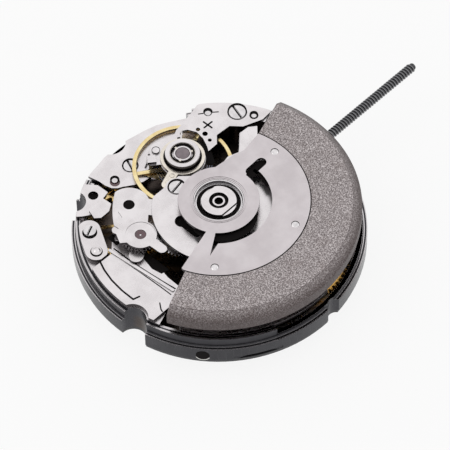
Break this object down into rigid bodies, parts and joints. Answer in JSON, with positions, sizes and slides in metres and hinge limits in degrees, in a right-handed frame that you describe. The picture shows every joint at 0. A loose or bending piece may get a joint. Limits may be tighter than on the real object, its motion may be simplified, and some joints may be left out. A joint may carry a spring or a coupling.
{
  "type": "automatic watch movement",
  "caption": "Automatic mechanical watch movement with a swinging half-disc rotor, sprung balance, calendar ring, hand posts and a threaded winding stem.",
  "frame": {"origin": "on the hands' axis, in the plane of the dial seat", "axes": "+X outwards along the winding stem, +Z from the dial side to the rotor, +Y towards the balance"},
  "size_m": [0.038, 0.026, 0.0079],
  "materials": {
    "nickel_plate": "fine satin nickel plating",
    "satin_nickel": "satin nickel",
    "dark_nickel": "dark glossy nickel",
    "black_plastic": "moulded plastic",
    "polished_steel": "hardened steel, lightly polished",
    "gilt_brass": "gilt",
    "ruby": "synthetic ruby, polished",
    "sintered_tungsten": "sintered, grainy",
    "white_enamel": "white print ground",
    "blued_steel": "thin alloy strip"
  },
  "bodies": {
    "root": {"main_plate": "dark_nickel", "dial_spacer_ring": "black_plastic", "calendar_plate": "nickel_plate", "centre_bridge": "nickel_plate", "pallet_bridge": "nickel_plate", "escape_bridge": "nickel_plate", "balance_cock": "nickel_plate", "shock_setting": "nickel_plate", "shock_spring": "gilt_brass", "cap_jewel": "ruby", "barrel_bridge": "nickel_plate", "setting_jumper": "polished_steel", "train_bridge": "nickel_plate", "reverser_bridge": "nickel_plate", "automatic_bridge": "nickel_plate", "bearing_inner_race": "polished_steel", "bearing_nut": "nickel_plate", "jewels": "ruby", "screws": "polished_steel", "side_plates": "nickel_plate"},
    "rotor": {"rotor_weight": "sintered_tungsten", "rotor_plate": "satin_nickel", "rotor_rivets": "polished_steel", "rotor_gear": "polished_steel", "bearing_outer_race": "polished_steel"},
    "ball_cage": {"bearing_balls": "polished_steel"},
    "intermediate_wheel": {"intermediate_wheel": "polished_steel"},
    "reverser_wheel": {"reverser_wheel": "polished_steel"},
    "reduction_wheel": {"reduction_wheel": "polished_steel"},
    "barrel_arbor": {"barrel_arbor": "polished_steel", "ratchet_wheel": "polished_steel", "ratchet_screw": "polished_steel"},
    "fourth_wheel": {"fourth_wheel": "gilt_brass"},
    "third_wheel": {"third_wheel": "gilt_brass"},
    "centre_wheel": {"centre_wheel": "gilt_brass", "cannon_pinion": "polished_steel"},
    "centre_seconds": {"centre_seconds_pinion": "polished_steel"},
    "barrel": {"barrel_drum": "gilt_brass", "barrel_cover": "gilt_brass", "mainspring": "polished_steel"},
    "escape_wheel": {"escape_wheel": "gilt_brass"},
    "minute_wheel": {"minute_wheel": "gilt_brass"},
    "hour_wheel": {"hour_wheel": "gilt_brass"},
    "date_driving_wheel": {"date_driving_wheel": "gilt_brass"},
    "setting_wheel": {"setting_wheel": "polished_steel"},
    "pallets": {"pallet_fork": "polished_steel"},
    "balance": {"balance_wheel": "gilt_brass", "balance_staff": "polished_steel"},
    "stud": {"stud_holder": "nickel_plate", "hairspring": "blued_steel"},
    "regulator": {"regulator_arm": "gilt_brass"},
    "date_ring": {"date_ring": "white_enamel"},
    "date_jumper": {"date_jumper": "polished_steel"},
    "click": {"click": "polished_steel"},
    "winding_pinion": {"winding_pinion": "polished_steel"},
    "winding_stem": {"winding_stem": "polished_steel"},
    "clutch_wheel": {"clutch_wheel": "polished_steel"},
    "crown_wheel": {"crown_wheel": "polished_steel"},
    "setting_lever": {"setting_lever": "polished_steel"},
    "yoke": {"yoke": "polished_steel"}
  },
  "joints": [
    {"name": "rotor_spin", "type": "hinge", "parent": "root", "child": "rotor", "pos_m": [0, 0, 0.0059], "axis": [0, 0, 1], "continuous": true},
    {"name": "ball_cage_spin", "type": "hinge", "parent": "root", "child": "ball_cage", "pos_m": [0, 0, 0.0054], "axis": [0, 0, 1], "continuous": true},
    {"name": "intermediate_spin", "type": "hinge", "parent": "root", "child": "intermediate_wheel", "pos_m": [-0.00388, 0.00041, 0.0042], "axis": [0, 0, 1], "continuous": true},
    {"name": "reverser_spin", "type": "hinge", "parent": "root", "child": "reverser_wheel", "pos_m": [-0.00668, 0.00297, 0.0042], "axis": [0, 0, 1], "continuous": true},
    {"name": "reduction_spin", "type": "hinge", "parent": "root", "child": "reduction_wheel", "pos_m": [-0.00352, -0.00358, 0.0042], "axis": [0, 0, 1], "continuous": true},
    {"name": "barrel_arbor_spin", "type": "hinge", "parent": "root", "child": "barrel_arbor", "pos_m": [0.00215, -0.00608, 0.0032], "axis": [0, 0, 1], "continuous": true},
    {"name": "fourth_wheel_spin", "type": "hinge", "parent": "root", "child": "fourth_wheel", "pos_m": [-0.00515, 0.00597, 0.0018], "axis": [0, 0, 1], "continuous": true},
    {"name": "third_wheel_spin", "type": "hinge", "parent": "root", "child": "third_wheel", "pos_m": [-0.00257, 0.00298, 0.0022], "axis": [0, 0, 1], "continuous": true},
    {"name": "centre_wheel_spin", "type": "hinge", "parent": "root", "child": "centre_wheel", "pos_m": [0, 0, 0.0015], "axis": [0, 0, 1], "continuous": true},
    {"name": "centre_seconds_spin", "type": "hinge", "parent": "root", "child": "centre_seconds", "pos_m": [0, 0, 0.0023], "axis": [0, 0, 1], "continuous": true},
    {"name": "barrel_spin", "type": "hinge", "parent": "root", "child": "barrel", "pos_m": [0.00215, -0.00608, 0.0021], "axis": [0, 0, 1], "continuous": true},
    {"name": "escape_wheel_spin", "type": "hinge", "parent": "root", "child": "escape_wheel", "pos_m": [-0.00341, 0.00957, 0.0021], "axis": [0, 0, 1], "continuous": true},
    {"name": "minute_wheel_spin", "type": "hinge", "parent": "root", "child": "minute_wheel", "pos_m": [0.00208, 0.00156, 0.00085], "axis": [0, 0, 1], "continuous": true},
    {"name": "hour_wheel_spin", "type": "hinge", "parent": "root", "child": "hour_wheel", "pos_m": [0, 0, 0.0006], "axis": [0, 0, 1], "continuous": true},
    {"name": "date_driving_spin", "type": "hinge", "parent": "root", "child": "date_driving_wheel", "pos_m": [-0.00507, -0.00185, 0.0005], "axis": [0, 0, 1], "continuous": true},
    {"name": "setting_wheel_spin", "type": "hinge", "parent": "root", "child": "setting_wheel", "pos_m": [0.0053, 0, 0.00085], "axis": [0, 0, 1], "continuous": true},
    {"name": "pallet_swing", "type": "hinge", "parent": "root", "child": "pallets", "pos_m": [-0.00182, 0.0086, 0.0021], "axis": [0, 0, 1], "range_deg": [-5, 5]},
    {"name": "balance_swing", "type": "hinge", "parent": "root", "child": "balance", "pos_m": [0.00187, 0.00635, 0.0031], "axis": [0, 0, 1], "range_deg": [-270, 270], "stiffness_Nm_per_rad": 0.0000006},
    {"name": "stud_turn", "type": "hinge", "parent": "root", "child": "stud", "pos_m": [0.00187, 0.00635, 0.0044], "axis": [0, 0, 1], "range_deg": [-8, 8]},
    {"name": "regulator_turn", "type": "hinge", "parent": "root", "child": "regulator", "pos_m": [0.00187, 0.00635, 0.0046], "axis": [0, 0, 1], "range_deg": [-12, 4]},
    {"name": "date_ring_spin", "type": "hinge", "parent": "root", "child": "date_ring", "pos_m": [0, 0, 0.00026], "axis": [0, 0, 1], "continuous": true},
    {"name": "date_jumper_lift", "type": "hinge", "parent": "root", "child": "date_jumper", "pos_m": [0.0016, 0.0076, 0.00026], "axis": [0, 0, 1], "range_deg": [0, 6], "stiffness_Nm_per_rad": 0.0002},
    {"name": "click_lift", "type": "hinge", "parent": "root", "child": "click", "pos_m": [0.0091, -0.0063, 0.0032], "axis": [0, 0, 1], "range_deg": [0, 8], "stiffness_Nm_per_rad": 0.0002},
    {"name": "stem_turn", "type": "hinge", "parent": "root", "child": "winding_pinion", "pos_m": [0.0096, 0, 0.002], "axis": [1, 0, 0], "continuous": true},
    {"name": "stem_pull", "type": "slide", "parent": "winding_pinion", "child": "winding_stem", "axis": [1, 0, 0], "range_m": [0, 0.001]},
    {"name": "clutch_slide", "type": "slide", "parent": "winding_pinion", "child": "clutch_wheel", "axis": [1, 0, 0], "range_m": [-0.0006, 0]},
    {"name": "crown_wheel_spin", "type": "hinge", "parent": "root", "child": "crown_wheel", "pos_m": [0.0074, 0, 0.0032], "axis": [0, 0, 1], "continuous": true},
    {"name": "setting_lever_swing", "type": "hinge", "parent": "root", "child": "setting_lever", "pos_m": [0.0103, 0.0026, 0.0006], "axis": [0, 0, 1], "range_deg": [0, 23]},
    {"name": "yoke_swing", "type": "hinge", "parent": "root", "child": "yoke", "pos_m": [0.0072, -0.0028, 0.0006], "axis": [0, 0, 1], "range_deg": [0, 12.5]}
  ],
  "couplings": [
    {"joint": "ball_cage_spin", "follows": "rotor_spin", "ratio": 0.55},
    {"joint": "intermediate_spin", "follows": "rotor_spin", "ratio": -0.69565},
    {"joint": "reverser_spin", "follows": "rotor_spin", "ratio": 1.0667},
    {"joint": "reduction_spin", "follows": "rotor_spin", "ratio": 0.94118},
    {"joint": "barrel_arbor_spin", "follows": "rotor_spin", "ratio": -0.10084},
    {"joint": "third_wheel_spin", "follows": "fourth_wheel_spin", "ratio": -0.13333},
    {"joint": "centre_wheel_spin", "follows": "fourth_wheel_spin", "ratio": 0.016667},
    {"joint": "centre_seconds_spin", "follows": "fourth_wheel_spin", "ratio": 1},
    {"joint": "barrel_spin", "follows": "fourth_wheel_spin", "ratio": -0.0027778},
    {"joint": "escape_wheel_spin", "follows": "fourth_wheel_spin", "ratio": -11.429},
    {"joint": "minute_wheel_spin", "follows": "fourth_wheel_spin", "ratio": -0.0055556},
    {"joint": "hour_wheel_spin", "follows": "fourth_wheel_spin", "ratio": 0.0013889},
    {"joint": "date_driving_spin", "follows": "fourth_wheel_spin", "ratio": -0.00069444},
    {"joint": "setting_wheel_spin", "follows": "fourth_wheel_spin", "ratio": 0.0066667},
    {"joint": "crown_wheel_spin", "follows": "stem_turn", "ratio": -0.46154},
    {"joint": "clutch_slide", "follows": "stem_pull", "ratio": -0.6},
    {"joint": "setting_lever_swing", "follows": "stem_pull", "rad_per_m": 400},
    {"joint": "yoke_swing", "follows": "stem_pull", "rad_per_m": 214}
  ]
}
